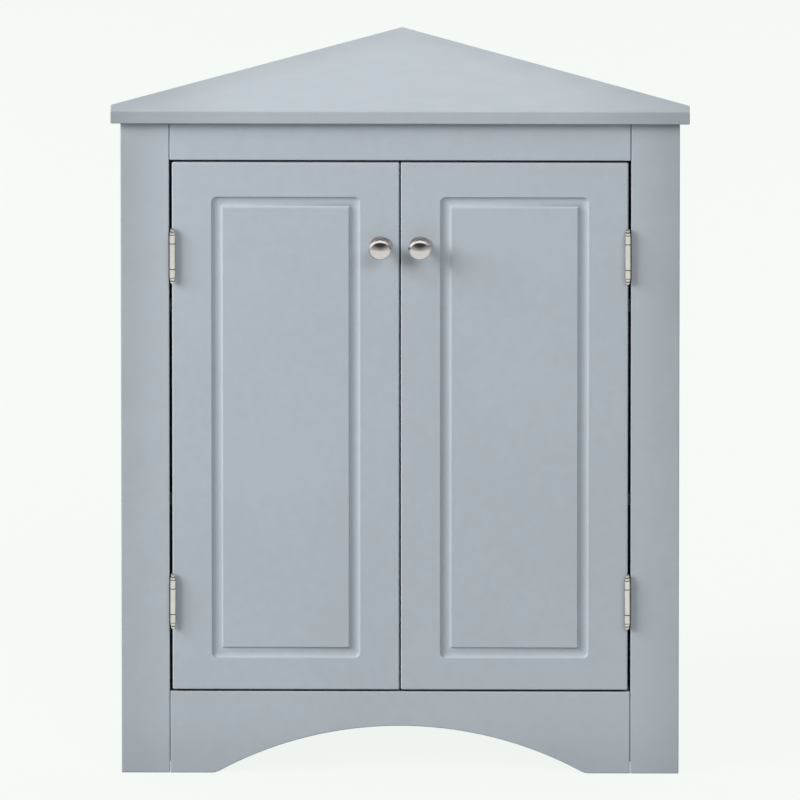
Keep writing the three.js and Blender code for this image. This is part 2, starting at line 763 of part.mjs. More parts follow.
// A door's group stands on its hinge axis, so turning the group about z opens the door.
function door(name, side) {
  const group = new THREE.Group();
  group.position.set(side * hingeAxisX, hingeAxisY, 0);
  const fromAxis = (distance, y, z) =>
    new THREE.Vector3(side * (doorEdgeFromAxis - distance), y - hingeAxisY, z);
  const board = piece(`${name}_door`, handed(doorBoard(), -side), paint);
  board.position.copy(fromAxis(0, 0, doorFoot));
  group.add(board);

  const knobX = doorWidth - knobFromMeetingEdge;
  const knobZ = doorFoot + doorHeight - knobBelowDoorTop;
  const handle = piece(`${name}_knob`, knob(), nickel);
  group.add(aimed(handle, fromAxis(knobX, -seam, knobZ), along(0, -1, 0)));
  const grip = doorThickness + knobScrewHold;
  const bolt = panScrew(knobScrewRadius, grip, knobScrewHeadRadius, knobScrewHeadHeight);
  const screw = piece(`${name}_knob_screw`, bolt, zinc);
  group.add(aimed(screw, fromAxis(knobX, doorThickness + seam, knobZ), along(0, 1, 0)));

  const strike = piece(`${name}_strike_plate`, strikePlate(), steel);
  strike.position.copy(fromAxis(strikeFromHingeEdge, doorThickness, strikeMiddle));
  const strikeFastener = piece(`${name}_strike_screw`, strikeScrew(), zinc);
  strikeFastener.position.copy(strike.position);
  group.add(strike, strikeFastener);

  for (const [level, height] of hingeHeights) {
    const leaf = piece(`${name}_${level}_hinge_door_leaf`, handed(doorLeaf(), side), nickel);
    leaf.position.z = height;
    group.add(leaf);
  }
  return group;
}

// The cupboard

const cupboard = new THREE.Group();
const frontmost = -knobProjection - seam;
cupboard.position.y = -(frontmost + topLine) / 2;
cupboard.add(topBoard(), topRail(), bottomRail(), bottomPanel(), camLocks(), magneticCatch());
for (const [level, underside] of shelves) {
  cupboard.add(shelf(level, underside));
}
for (const [name, side] of sides) {
  cupboard.add(stile(name, side), sidePanel(name, side), cornerBatten(name, side));
  cupboard.add(hingeFixedHalf(name, side), door(name, side));
  for (const [level, underside] of shelves) {
    for (const [place, distance] of pinPlaces) {
      cupboard.add(shelfPin(`${name}_${level}_${place}`, side, distance, underside));
    }
  }
}

const corner = new THREE.Group();
corner.add(cupboard);

export default corner;
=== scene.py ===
"""A corner cupboard in satin grey-blue paint, dressed and lit as it stands in a studio.

Lengths are metres, +Z is up and the cupboard's front looks along -Y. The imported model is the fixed
frame: its boards and fittings keep their places and get their finishes here, and the turned and
screwed hardware is rebuilt at the same places with finer surfaces.
"""

import logging
import math
from dataclasses import dataclass, field
from enum import Enum
from functools import cached_property

import bmesh
import bpy
from mathutils import Matrix, Vector


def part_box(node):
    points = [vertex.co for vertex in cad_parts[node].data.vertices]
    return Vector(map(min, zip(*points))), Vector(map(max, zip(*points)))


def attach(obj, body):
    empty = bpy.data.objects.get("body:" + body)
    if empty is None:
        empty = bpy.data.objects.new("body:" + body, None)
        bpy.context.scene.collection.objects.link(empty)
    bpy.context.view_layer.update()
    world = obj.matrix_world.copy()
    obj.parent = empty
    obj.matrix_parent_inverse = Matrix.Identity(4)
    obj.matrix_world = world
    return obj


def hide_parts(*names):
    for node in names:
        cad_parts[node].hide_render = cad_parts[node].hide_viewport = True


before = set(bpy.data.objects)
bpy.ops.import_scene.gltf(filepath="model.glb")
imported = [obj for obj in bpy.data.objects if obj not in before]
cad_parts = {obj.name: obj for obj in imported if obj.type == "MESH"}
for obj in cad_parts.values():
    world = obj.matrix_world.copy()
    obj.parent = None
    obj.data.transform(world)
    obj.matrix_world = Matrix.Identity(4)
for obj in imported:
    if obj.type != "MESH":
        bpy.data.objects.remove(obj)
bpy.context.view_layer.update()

log = logging.getLogger("corner_cupboard")

Colour = tuple[float, float, float, float]
Point = tuple[float, float]
Profile = list[Point]
Socket = bpy.types.NodeSocket
Piece = bpy.types.Object
Material = bpy.types.Material
Mesh = bpy.types.Mesh
Node = bpy.types.Node
NodeTree = bpy.types.NodeTree

SCREEN_WHITE = 255
CABINET = "cabinet"
QUARTER_TURN = math.pi / 2
# the levels between which nearly all of a noise lies, and the steeper middle of them
NOISE_SPREAD = (0.3, 0.7)
NOISE_MIDDLE = (0.35, 0.65)
FORWARD = Vector((0, -1, 0))
UPWARD = Vector((0, 0, 1))


def decode(level: float) -> float:
    """Gives the share of light that a screen level, from 0 to 255, stands for.

    Args:
        level: The level.

    Returns:
        The share, from 0 to 1.
    """
    toe, toe_slope, lift, gamma = 0.04045, 12.92, 0.055, 2.4
    share = level / SCREEN_WHITE
    return share / toe_slope if share <= toe else ((share + lift) / (1 + lift)) ** gamma


def screen(red: float, green: float, blue: float) -> Colour:
    """Gives the linear colour of screen levels from 0 to 255, with an alpha of one."""
    return decode(red), decode(green), decode(blue), 1.0


class Side(Enum):
    """The two halves of the cupboard, as seen from the front."""

    LEFT = -1
    RIGHT = 1

    @property
    def word(self) -> str:
        """The side's word in the pieces' names."""
        return self.name.lower()

    @property
    def door_body(self) -> str:
        """The body of this side's door."""
        return f"{self.word}_door"

    @property
    def out_of_wall(self) -> Vector:
        """The direction that this side panel's inner face looks in."""
        return Vector((-self.value, -1, 0)).normalized()


class NodeDesk:
    """A node tree, with short ways to add nodes and to join them."""

    spacing = 220.0
    # the mixing node's sockets for colours, by number, as its other sockets have the same names
    first_colour, second_colour, mixed_colour = 6, 7, 2

    def __init__(self, tree: NodeTree) -> None:
        """Empties the tree that it fills."""
        self.tree = tree
        tree.nodes.clear()

    def add(self, kind: str, inputs: dict[str, object] | None = None, **settings: object) -> Node:
        """Adds a node to the right of the others.

        Args:
            kind: The node's type.
            inputs: A value, or a socket to join, for each input, by its name or number.
            **settings: The node's own settings.

        Returns:
            The new node.
        """
        node = self.tree.nodes.new(kind)
        node.location = (self.spacing * len(self.tree.nodes), 0)
        for name, value in settings.items():
            setattr(node, name, value)
        for name, value in (inputs or {}).items():
            if isinstance(value, Socket):
                self.tree.links.new(value, node.inputs[name])
            else:
                node.inputs[name].default_value = value
        return node

    def math(self, operation: str, first: object, second: object = 0.0, clamp: bool = False) -> Socket:
        """Adds a sum of two numbers or sockets, kept between zero and one if clamp is set."""
        inputs = {0: first, 1: second}
        return self.add("ShaderNodeMath", inputs, operation=operation, use_clamp=clamp).outputs[0]

    def span(self, value: Socket, low: object, high: object, to: Point = (0.0, 1.0)) -> Socket:
        """Maps the range from low to high, numbers or sockets, smoothly onto another range."""
        inputs = {"Value": value, "From Min": low, "From Max": high, "To Min": to[0], "To Max": to[1]}
        return self.add("ShaderNodeMapRange", inputs, interpolation_type="SMOOTHSTEP").outputs["Result"]

    def blend(self, share: Socket, first: object, second: object) -> Socket:
        """Mixes two colours, of which the second shows by its share."""
        inputs = {"Factor": share, self.first_colour: first, self.second_colour: second}
        return self.add("ShaderNodeMix", inputs, data_type="RGBA").outputs[self.mixed_colour]

    def noise(self, place: Socket, scale: object, detail: float = 2.0) -> Socket:
        """Adds noise around one half, with a scale in cells to the metre and a detail in finer layers."""
        inputs = {"Vector": place, "Scale": scale, "Detail": detail}
        return self.add("ShaderNodeTexNoise", inputs).outputs["Fac"]

    def vector(self, operation: str, first: Socket, second: Socket) -> Node:
        """Adds a sum of two vectors, with its result in the Value or Vector output."""
        return self.add("ShaderNodeVectorMath", {0: first, 1: second}, operation=operation)

    def either(self, share: object, first: Socket, second: Socket) -> Socket:
        """Mixes two shaders, of which the second shows by its share, a number or socket."""
        return self.add("ShaderNodeMixShader", {"Fac": share, 1: first, 2: second}).outputs[0]


def effect(name: str, inputs: dict[str, float], *outputs: str) -> tuple[NodeDesk, bpy.types.NodeOutputs]:
    """Starts a shader node group with a place and numbers going in.

    Args:
        name: The group's name.
        inputs: The numbers that go in, with the value that each starts from.
        *outputs: The names of what comes out, a vector if it is a normal and else a number.

    Returns:
        The desk of the group's tree, and the sockets that bring in its inputs.
    """
    tree = bpy.data.node_groups.new(name, "ShaderNodeTree")
    tree.interface.new_socket("Place", in_out="INPUT", socket_type="NodeSocketVector")
    for label, value in inputs.items():
        socket = tree.interface.new_socket(label, in_out="INPUT", socket_type="NodeSocketFloat")
        socket.default_value = value
    for label in outputs:
        kind = "NodeSocketVector" if label == "Normal" else "NodeSocketFloat"
        tree.interface.new_socket(label, in_out="OUTPUT", socket_type=kind)
    desk = NodeDesk(tree)
    return desk, desk.add("NodeGroupInput").outputs


class SharedEffects:
    """The surface effects that several finishes use, each built once as a node group."""

    @cached_property
    def edge_wear(self) -> NodeTree:
        """Finds outer edges by comparing the true normal with a rounded one.

        Returns:
            The group, which puts out a mask and the rounded normal.
        """
        desk, given = effect("edge_wear", {"Radius": 0.001, "Breakup": 120.0}, "Mask", "Normal")
        rounded = desk.add("ShaderNodeBevel", {"Radius": given["Radius"]}, samples=6)
        true = desk.add("ShaderNodeNewGeometry").outputs["Normal"]
        likeness = desk.vector("DOT_PRODUCT", rounded.outputs[0], true).outputs["Value"]
        flat, turned_off = 1.0, 0.86
        edge = desk.span(likeness, flat, turned_off)
        least = 0.35
        patches = desk.noise(given["Place"], given["Breakup"])
        broken = desk.span(patches, *NOISE_MIDDLE, (least, 1.0))
        mask = desk.math("MULTIPLY", edge, broken, clamp=True)
        desk.add("NodeGroupOutput", {"Mask": mask, "Normal": rounded.outputs[0]})
        return desk.tree

    @cached_property
    def tone_drift(self) -> NodeTree:
        """Makes a slow change of tone with a finer mottle in it.

        Returns:
            The group, which puts out a mask around one half.
        """
        inputs = {"Scale": 5.0, "Mottle Scale": 90.0, "Mottle": 0.35}
        desk, given = effect("tone_drift", inputs, "Mask")
        slow = desk.noise(given["Place"], given["Scale"])
        mottle = desk.noise(given["Place"], given["Mottle Scale"])
        centred = desk.math("SUBTRACT", mottle, 0.5)
        weighed = desk.math("MULTIPLY", centred, given["Mottle"])
        desk.add("NodeGroupOutput", {"Mask": desk.math("ADD", slow, weighed, clamp=True)})
        return desk.tree

    @cached_property
    def sprayed_skin(self) -> NodeTree:
        """Makes the faint pebbling of a sprayed coat over a flat board.

        Returns:
            The group, which puts out a height.
        """
        inputs = {"Pebble Scale": 420.0, "Wave Scale": 34.0, "Wave": 1.4}
        desk, given = effect("sprayed_skin", inputs, "Height")
        pebbles = desk.noise(given["Place"], given["Pebble Scale"], detail=1.0)
        waves = desk.noise(given["Place"], given["Wave Scale"], detail=1.0)
        weighed = desk.math("MULTIPLY", waves, given["Wave"])
        desk.add("NodeGroupOutput", {"Height": desk.math("ADD", pebbles, weighed)})
        return desk.tree

    @cached_property
    def fine_lines(self) -> NodeTree:
        """Makes the fine lines of polishing or rolling, drawn out along local x, y or z.

        Returns:
            The group, which puts out a height around one half.
        """
        inputs = {"Scale X": 2500.0, "Scale Y": 2500.0, "Scale Z": 120.0}
        desk, given = effect("fine_lines", inputs, "Height")
        parts = {axis: given[f"Scale {axis}"] for axis in "XYZ"}
        scale = desk.add("ShaderNodeCombineXYZ", parts).outputs[0]
        drawn = desk.vector("MULTIPLY", given["Place"], scale).outputs["Vector"]
        desk.add("NodeGroupOutput", {"Height": desk.noise(drawn, scale=1.0, detail=3.0)})
        return desk.tree

    @cached_property
    def settled_dust(self) -> NodeTree:
        """Finds the faces that look up, where a little dust settles in clouds.

        Returns:
            The group, which puts out a mask.
        """
        desk, given = effect("settled_dust", {"Scale": 26.0}, "Mask")
        normal = desk.add("ShaderNodeNewGeometry").outputs["Normal"]
        height = desk.add("ShaderNodeSeparateXYZ", {"Vector": normal}).outputs["Z"]
        sloping, level = 0.5, 0.95
        clear, thick = 0.42, 0.7
        clouds = desk.noise(given["Place"], given["Scale"], detail=5.0)
        dust = desk.math("MULTIPLY", desk.span(height, sloping, level), desk.span(clouds, clear, thick))
        desk.add("NodeGroupOutput", {"Mask": dust})
        return desk.tree

    # painted shade: darkens the case towards its sides, the top's ends, front edge and back edges, and
    # the foot, more so higher up the sides
    @cached_property
    def handled_rims(self) -> NodeTree:
        """Finds the outermost parts of the case, where painted shade darkens the paint towards the
        outline and the foot.

        Returns:
            The group, which puts out a mask.
        """
        inputs = {
            "Sides": 0.25,
            "Top Ends": 0.29,
            "Top Edge": 0.09,
            "Wall Edges": 0.17,
            "Foot": 0.17,
            "Breakup": 14.0,
        }
        desk, given = effect("handled_rims", inputs, "Mask")
        place = desk.add("ShaderNodeSeparateXYZ", {"Vector": given["Place"]}).outputs
        # metres from the middle of the foot: where each rim's mask starts, and where it is full
        across = desk.math("ABSOLUTE", place["X"])
        on_top = desk.span(place["Z"], 0.78, 0.784)
        # painted shade: the sides darken more towards the top
        upward = desk.span(place["Z"], 0.25, 0.75, (0.8, 1.45))
        below_top = desk.math("MULTIPLY", upward, desk.math("SUBTRACT", 1.0, on_top))
        to_wall = desk.math("ADD", across, place["Y"])
        parts = {
            "Sides": desk.math("MULTIPLY", desk.span(across, 0.262, 0.33), below_top),
            "Top Ends": desk.math("MULTIPLY", desk.span(across, 0.16, 0.335), on_top),
            "Top Edge": desk.math("MULTIPLY", desk.span(place["Z"], 0.7995, 0.7985), on_top),
            "Wall Edges": desk.math("MULTIPLY", desk.span(to_wall, 0.1, 0.19), on_top),
            "Foot": desk.span(place["Z"], 0.075, 0.0),
        }
        whole = 0.0
        for label, part in parts.items():
            whole = desk.math("ADD", desk.math("MULTIPLY", part, given[label]), whole)
        cloud = desk.noise(given["Place"], given["Breakup"])
        broken = desk.math("MULTIPLY", whole, desk.span(cloud, *NOISE_SPREAD, (0.85, 1.15)))
        desk.add("NodeGroupOutput", {"Mask": broken})
        return desk.tree

    # painted shade: a mask of what the ambient occlusion node finds closed in
    @cached_property
    def crevices(self) -> NodeTree:
        """Finds closed-in corners and narrow slots by ambient occlusion, for painted shade there.

        Returns:
            The group, which puts out a mask.
        """
        inputs = {"Distance": 0.003, "Clean From": 0.8, "Dark From": 0.6, "Breakup": 700.0}
        desk, given = effect("crevices", inputs, "Mask")
        inputs = {"Distance": given["Distance"]}
        openness = desk.add("ShaderNodeAmbientOcclusion", inputs, samples=8).outputs["AO"]
        closed = desk.span(openness, given["Clean From"], given["Dark From"])
        cloud = desk.noise(given["Place"], given["Breakup"])
        broken = desk.math("MULTIPLY", closed, desk.span(cloud, *NOISE_SPREAD, (0.8, 1.0)))
        desk.add("NodeGroupOutput", {"Mask": broken})
        return desk.tree


class Surface:
    """A material in the making."""

    def __init__(self, name: str) -> None:
        """Starts a material with its place in the object's own coordinates.

        Args:
            name: The material's name.
        """
        self.material = bpy.data.materials.new(name)
        self.material.use_nodes = True
        self.desk = NodeDesk(self.material.node_tree)
        self.place = self.desk.add("ShaderNodeTexCoord").outputs["Object"]

    def use(self, group: NodeTree, **inputs: float) -> bpy.types.NodeOutputs:
        """Places a shared effect here, with underscores for the spaces in its inputs' names."""
        named = {name.replace("_", " "): value for name, value in inputs.items()}
        return self.desk.add("ShaderNodeGroup", {"Place": self.place, **named}, node_tree=group).outputs

    def raised(self, height: Socket, depth: float, normal: Socket) -> Socket:
        """Bumps a normal by a height around one, which stands for a depth in metres."""
        inputs = {"Distance": depth, "Height": height, "Normal": normal}
        return self.desk.add("ShaderNodeBump", inputs).outputs[0]

    def finished(self, inputs: dict[str, object]) -> Material:
        """Closes the material with its shader.

        Args:
            inputs: The shader's values and sockets.

        Returns:
            The material.
        """
        shader = self.desk.add("ShaderNodeBsdfPrincipled", inputs)
        self.desk.add("ShaderNodeOutputMaterial", {"Surface": shader.outputs[0]})
        return self.material


@dataclass(frozen=True)
class SatinPaint:
    """Satin paint on board: pebbling, a drift of tone, rubbed edges, and painted shade near the outline
    of the case and between its boards.
    """

    name: str = "satin_paint"
    deep: Colour = screen(176, 184, 191)
    light: Colour = screen(180, 188, 195)
    rubbed: Colour = screen(190, 198, 204)
    dusty: Colour = screen(188, 195, 201)
    # painted shade near the outline of the case
    handled: Colour = screen(124, 129, 133)
    # painted shade in the narrow slot between boards and doors
    unpainted: Colour = screen(34, 34, 34)
    rubbed_share: float = 0.35
    dust_share: float = 0.3
    roughness: tuple[float, float] = (0.46, 0.56)
    edge_radius: float = 0.0012
    skin_depth: float = 0.00003
    specular: float = 0.4

    def material(self, effects: SharedEffects) -> Material:
        """Makes the material.

        Args:
            effects: The shared node groups.

        Returns:
            The material.
        """
        surface = Surface(self.name)
        desk = surface.desk
        drift = surface.use(effects.tone_drift, Mottle=0.7)["Mask"]
        edge = surface.use(effects.edge_wear, Radius=self.edge_radius)
        dust = surface.use(effects.settled_dust)["Mask"]
        skin = surface.use(effects.sprayed_skin)["Height"]
        tone = desk.blend(desk.span(drift, *NOISE_SPREAD), self.deep, self.light)
        worn = desk.blend(desk.math("MULTIPLY", edge["Mask"], self.rubbed_share), tone, self.rubbed)
        dusted = desk.blend(desk.math("MULTIPLY", dust, self.dust_share), worn, self.dusty)
        # painted shade: darker towards the outline of the case and, where ambient occlusion finds it
        # closed in, between the boards
        rim_shade_mask = surface.use(effects.handled_rims)["Mask"]
        gap_reach = {"Distance": 0.006, "Clean_From": 0.42, "Dark_From": 0.22, "Breakup": 60.0}
        gap_shade_mask = surface.use(effects.crevices, **gap_reach)["Mask"]
        return surface.finished({
            "Base Color": desk.blend(gap_shade_mask, desk.blend(rim_shade_mask, dusted, self.handled), self.unpainted),
            "Roughness": desk.span(drift, *NOISE_SPREAD, self.roughness),
            "Specular IOR Level": self.specular,
            "Normal": surface.raised(skin, self.skin_depth, edge["Normal"]),
        })


@dataclass(frozen=True)
class TurnedMetal:
    """Plated or bare metal with fine lines, a little tarnish, edges polished by use, and painted shade in
    its recesses.
    """

    name: str
    bright: Colour
    tarnished: Colour
    roughness: tuple[float, float]
    line_scales: tuple[float, float, float]
    line_depth: float = 0.000004
    edge_radius: float = 0.0003
    polished: float = 0.4
    # painted shade in recesses, such as by the knob's flange and beside the hinge barrels
    patina: Colour = screen(58, 52, 46)
    tarnish_spread: Point = (0.3, 0.75)
    streak_spread: Point = (0.2, 0.8)

    def material(self, effects: SharedEffects) -> Material:
        """Makes the material.

        Args:
            effects: The shared node groups.

        Returns:
            The material.
        """
        surface = Surface(self.name)
        desk = surface.desk
        drift = surface.use(effects.tone_drift, Scale=60.0, Mottle_Scale=900.0, Mottle=0.8)["Mask"]
        edge = surface.use(effects.edge_wear, Radius=self.edge_radius, Breakup=900.0)
        scales = dict(zip(("Scale_X", "Scale_Y", "Scale_Z"), self.line_scales, strict=True))
        lines = surface.use(effects.fine_lines, **scales)["Height"]
        tone = desk.blend(desk.span(drift, *self.tarnish_spread), self.bright, self.tarnished)
        rubbed = desk.math("MULTIPLY", edge["Mask"], self.polished)
        streaks = desk.math("ADD", lines, desk.math("SUBTRACT", drift, 0.5))
        dull = desk.span(streaks, *self.streak_spread, self.roughness)
        shine = desk.math("MULTIPLY", rubbed, self.roughness[0] / 2)
        # painted shade: darkens the metal where ambient occlusion finds it closed in
        recess_shade_mask = surface.use(effects.crevices)["Mask"]
        return surface.finished({
            "Base Color": desk.blend(recess_shade_mask, desk.blend(rubbed, tone, self.bright), self.patina),
            "Metallic": 1.0,
            "Roughness": desk.math("SUBTRACT", dull, shine),
            "Normal": surface.raised(lines, self.line_depth, edge["Normal"]),
        })


@dataclass(frozen=True)
class FinePowderFinish:
    """A dull, finely pitted surface: moulded plastic from a sparked mould, or pressed ferrite."""

    name: str
    body: Colour
    pale: Colour
    worn: Colour
    roughness: tuple[float, float]
    pit_scale: float
    pit_depth: float
    specular: float = 0.5
    edge_radius: float = 0.0004
    worn_share: float = 0.5
    pit_spread: Point = (0.3, 1.0)

    def material(self, effects: SharedEffects) -> Material:
        """Makes the material.

        Args:
            effects: The shared node groups.

        Returns:
            The material.
        """
        surface = Surface(self.name)
        desk = surface.desk
        drift = surface.use(effects.tone_drift, Scale=40.0, Mottle_Scale=self.pit_scale / 3)["Mask"]
        edge = surface.use(effects.edge_wear, Radius=self.edge_radius, Breakup=400.0)
        pits = surface.use(effects.sprayed_skin, Pebble_Scale=self.pit_scale, Wave=0.3)["Height"]
        tone = desk.blend(desk.span(drift, *NOISE_SPREAD), self.body, self.pale)
        rubbed = desk.math("MULTIPLY", edge["Mask"], self.worn_share)
        return surface.finished({
            "Base Color": desk.blend(rubbed, tone, self.worn),
            "Roughness": desk.span(pits, *self.pit_spread, self.roughness),
            "Specular IOR Level": self.specular,
            "Normal": surface.raised(pits, self.pit_depth, edge["Normal"]),
        })


class Finish(Enum):
    """The finishes, each with its slot in the record and its recipe."""

    PAINT = ("painted_board", SatinPaint())
    KNOB_NICKEL = ("brushed_nickel", TurnedMetal(
        name="knob_nickel",
        bright=screen(218, 211, 210),
        tarnished=screen(209, 202, 200),
        roughness=(0.12, 0.19),
        line_scales=(260.0, 260.0, 5200.0),
    ))
    HINGE_NICKEL = ("brushed_nickel", TurnedMetal(
        name="hinge_nickel",
        bright=screen(222, 217, 211),
        tarnished=screen(213, 208, 201),
        roughness=(0.12, 0.19),
        line_scales=(260.0, 260.0, 5200.0),
    ))
    ZINC = ("zinc", TurnedMetal(
        name="die_cast_zinc",
        bright=screen(214, 216, 219),
        tarnished=screen(172, 176, 182),
        roughness=(0.38, 0.58),
        line_scales=(700.0, 700.0, 700.0),
        line_depth=0.00002,
    ))
    STEEL = ("strike_steel", TurnedMetal(
        name="rolled_steel",
        bright=screen(208, 210, 212),
        tarnished=screen(186, 188, 190),
        roughness=(0.26, 0.4),
        line_scales=(90.0, 3200.0, 3200.0),
    ))
    PLASTIC = ("catch_plastic", FinePowderFinish(
        name="white_plastic",
        body=screen(226, 227, 222),
        pale=screen(233, 233, 229),
        worn=screen(240, 240, 237),
        roughness=(0.42, 0.55),
        pit_scale=2400.0,
        pit_depth=0.00001,
    ))
    FERRITE = ("ferrite", FinePowderFinish(
        name="pressed_ferrite",
        body=screen(58, 58, 61),
        pale=screen(72, 72, 75),
        worn=screen(104, 104, 108),
        roughness=(0.6, 0.85),
        pit_scale=3600.0,
        pit_depth=0.00003,
    ))

    def __init__(self, slot: str, recipe: SatinPaint | TurnedMetal | FinePowderFinish) -> None:
        """Keeps the slot and the recipe."""
        self.slot, self.recipe = slot, recipe


class Palette:
    """Every finish as a material."""

    def __init__(self) -> None:
        """Makes each material once, with the effects that they share."""
        effects = SharedEffects()
        self.materials = {finish: finish.recipe.material(effects) for finish in Finish}

    def dress(self, piece: Piece, finish: Finish) -> None:
        """Gives a piece its finish, on the object and not on its mesh.

        Args:
            piece: The object, with or without material slots.
            finish: The finish.
        """
        if not piece.material_slots:
            piece.data.materials.append(None)
        for place in piece.material_slots:
            place.link = "OBJECT"
            place.material = self.materials[finish]


def link(name: str, data: bpy.types.ID) -> Piece:
    """Puts a new object into the scene.

    Args:
        name: The object's name.
        data: Its mesh, lamp or camera. Several objects may share a mesh.

    Returns:
        The object.
    """
    piece = bpy.data.objects.new(name, data)
    bpy.context.scene.collection.objects.link(piece)
    return piece


def as_mesh(made: bmesh.types.BMesh, name: str) -> Mesh:
    """Turns what bmesh has made into a mesh.

    Args:
        made: The edited mesh, which is freed.
        name: The mesh's name.

    Returns:
        The mesh.
    """
    mesh = bpy.data.meshes.new(name)
    made.to_mesh(mesh)
    made.free()
    return mesh


def arc(centre: Point, radius: float, start: float, end: float, steps: int) -> Profile:
    """Gives the points of an arc in the plane of radius and height, between two angles in degrees."""
    angles = (math.radians(start + (end - start) * step / steps) for step in range(steps + 1))
    return [(centre[0] + radius * math.cos(a), centre[1] + radius * math.sin(a)) for a in angles]


def curve(start: Point, bend: Point, end: Point, steps: int) -> Profile:
    """Gives points on a curve that leaves its start towards the bend and reaches its end from it.

    Args:
        start: The first point.
        bend: The point that draws the curve out.
        end: The last point.
        steps: How many chords it has.

    Returns:
        The points, both ends included.
    """
    points = []
    for step in range(steps + 1):
        t = step / steps
        weights = ((1 - t) ** 2, 2 * t * (1 - t), t**2)
        points.append(tuple(sum(w * p[i] for w, p in zip(weights, (start, bend, end))) for i in (0, 1)))
    return points


def turned_mesh(name: str, profile: Profile, sides: int, crease: float) -> Mesh:
    """Turns a profile about +Z into a closed, smooth mesh.

    Args:
        name: The mesh's name.
        profile: Pairs of radius and height, from the axis at one end to the axis at the other.
        sides: How many faces go round.
        crease: The angle in degrees above which an edge stays sharp.

    Returns:
        The mesh.
    """
    made = bmesh.new()
    rings = []
    on_axis = 1e-7
    for radius, height in profile:
        if radius < on_axis:
            rings.append([made.verts.new((0, 0, height))])
            continue
        angles = (math.tau * side / sides for side in range(sides))
        points = ((radius * math.cos(a), radius * math.sin(a), height) for a in angles)
        rings.append([made.verts.new(point) for point in points])
    for low, high in zip(rings, rings[1:]):
        for side in range(sides):
            after = (side + 1) % sides
            places = ((low, side), (low, after), (high, after), (high, side))
            made.faces.new(dict.fromkeys(ring[place % len(ring)] for ring, place in places))
    bmesh.ops.recalc_face_normals(made, faces=made.faces)
    for face in made.faces:
        face.smooth = True
    for edge in made.edges:
        edge.smooth = edge.calc_face_angle(0.0) < math.radians(crease)
    return as_mesh(made, name)


def cut_mesh(body: Mesh, cutter: Mesh) -> Mesh:
    """Cuts one closed mesh out of another.

    Args:
        body: The mesh that is cut, which is removed.
        cutter: The mesh that cuts it, which is removed.

    Returns:
        The mesh that is left.
    """
    name = body.name
    whole, tool = link("whole", body), link("tool", cutter)
    modifier = whole.modifiers.new("cut", "BOOLEAN")
    modifier.object, modifier.operation, modifier.solver = tool, "DIFFERENCE", "EXACT"
    seen = whole.evaluated_get(bpy.context.evaluated_depsgraph_get())
    left = bpy.data.meshes.new_from_object(seen)
    for piece in (whole, tool):
        bpy.data.objects.remove(piece)
    for mesh in (body, cutter):
        bpy.data.meshes.remove(mesh)
    left.name = name
    return left


def cross_cutter(reach: float, width: float, depth: float, top: float) -> Mesh:
    """Makes the tapered cross that sinks a driver's recess into a face.

    Args:
        reach: From the middle to the end of a wing.
        width: Across a wing, at the face.
        depth: How deep it goes below the face.
        top: The height of the face.

    Returns:
        The closed mesh.
    """
    taper = 0.6
    half = width / 2
    corner = [(reach, -half), (reach, half), (half, half)]
    outline = []
    for turn in range(4):
        spin = Matrix.Rotation(turn * QUARTER_TURN, 2)
        outline += [spin @ Vector(point) for point in corner]
    made = bmesh.new()
    rings = []
    for share, height in ((taper, top - depth), (1, top), (1, top + depth)):
        rings.append([made.verts.new((x * share, y * share, height)) for x, y in outline])
    made.faces.new(rings[-1])
    made.faces.new(reversed(rings[0]))
    for low, high in zip(rings, rings[1:]):
        for index, _ in enumerate(outline):
            after = (index + 1) % len(outline)
            made.faces.new((low[index], low[after], high[after], high[index]))
    bmesh.ops.recalc_face_normals(made, faces=made.faces)
    return as_mesh(made, "cross")


def smoothing_group(crease: float) -> NodeTree:
    """Makes the modifier that welds a node's facets and smooths the shallow edges between them.

    Args:
        crease: The angle in degrees above which an edge stays sharp.

    Returns:
        The geometry node group.
    """
    tree = bpy.data.node_groups.new("smooth_facets", "GeometryNodeTree")
    for way in ("INPUT", "OUTPUT"):
        tree.interface.new_socket("Geometry", in_out=way, socket_type="NodeSocketGeometry")
    desk = NodeDesk(tree)
    weld_distance = 1e-6
    shape = desk.add("NodeGroupInput").outputs[0]
    angle = desk.add("GeometryNodeInputMeshEdgeAngle").outputs["Unsigned Angle"]
    shallow = desk.math("LESS_THAN", angle, math.radians(crease))
    for kind, inputs, settings in (
        ("RemoveAttribute", {"Name": "custom_normal"}, {}),
        ("MergeByDistance", {"Distance": weld_distance}, {}),
        ("SetShadeSmooth", {"Shade Smooth": True}, {"domain": "FACE"}),
        ("SetShadeSmooth", {"Shade Smooth": shallow}, {"domain": "EDGE"}),
    ):
        shape = desk.add(f"GeometryNode{kind}", {"Geometry": shape, **inputs}, **settings).outputs[0]
    desk.add("NodeGroupOutput", {"Geometry": shape})
    return tree


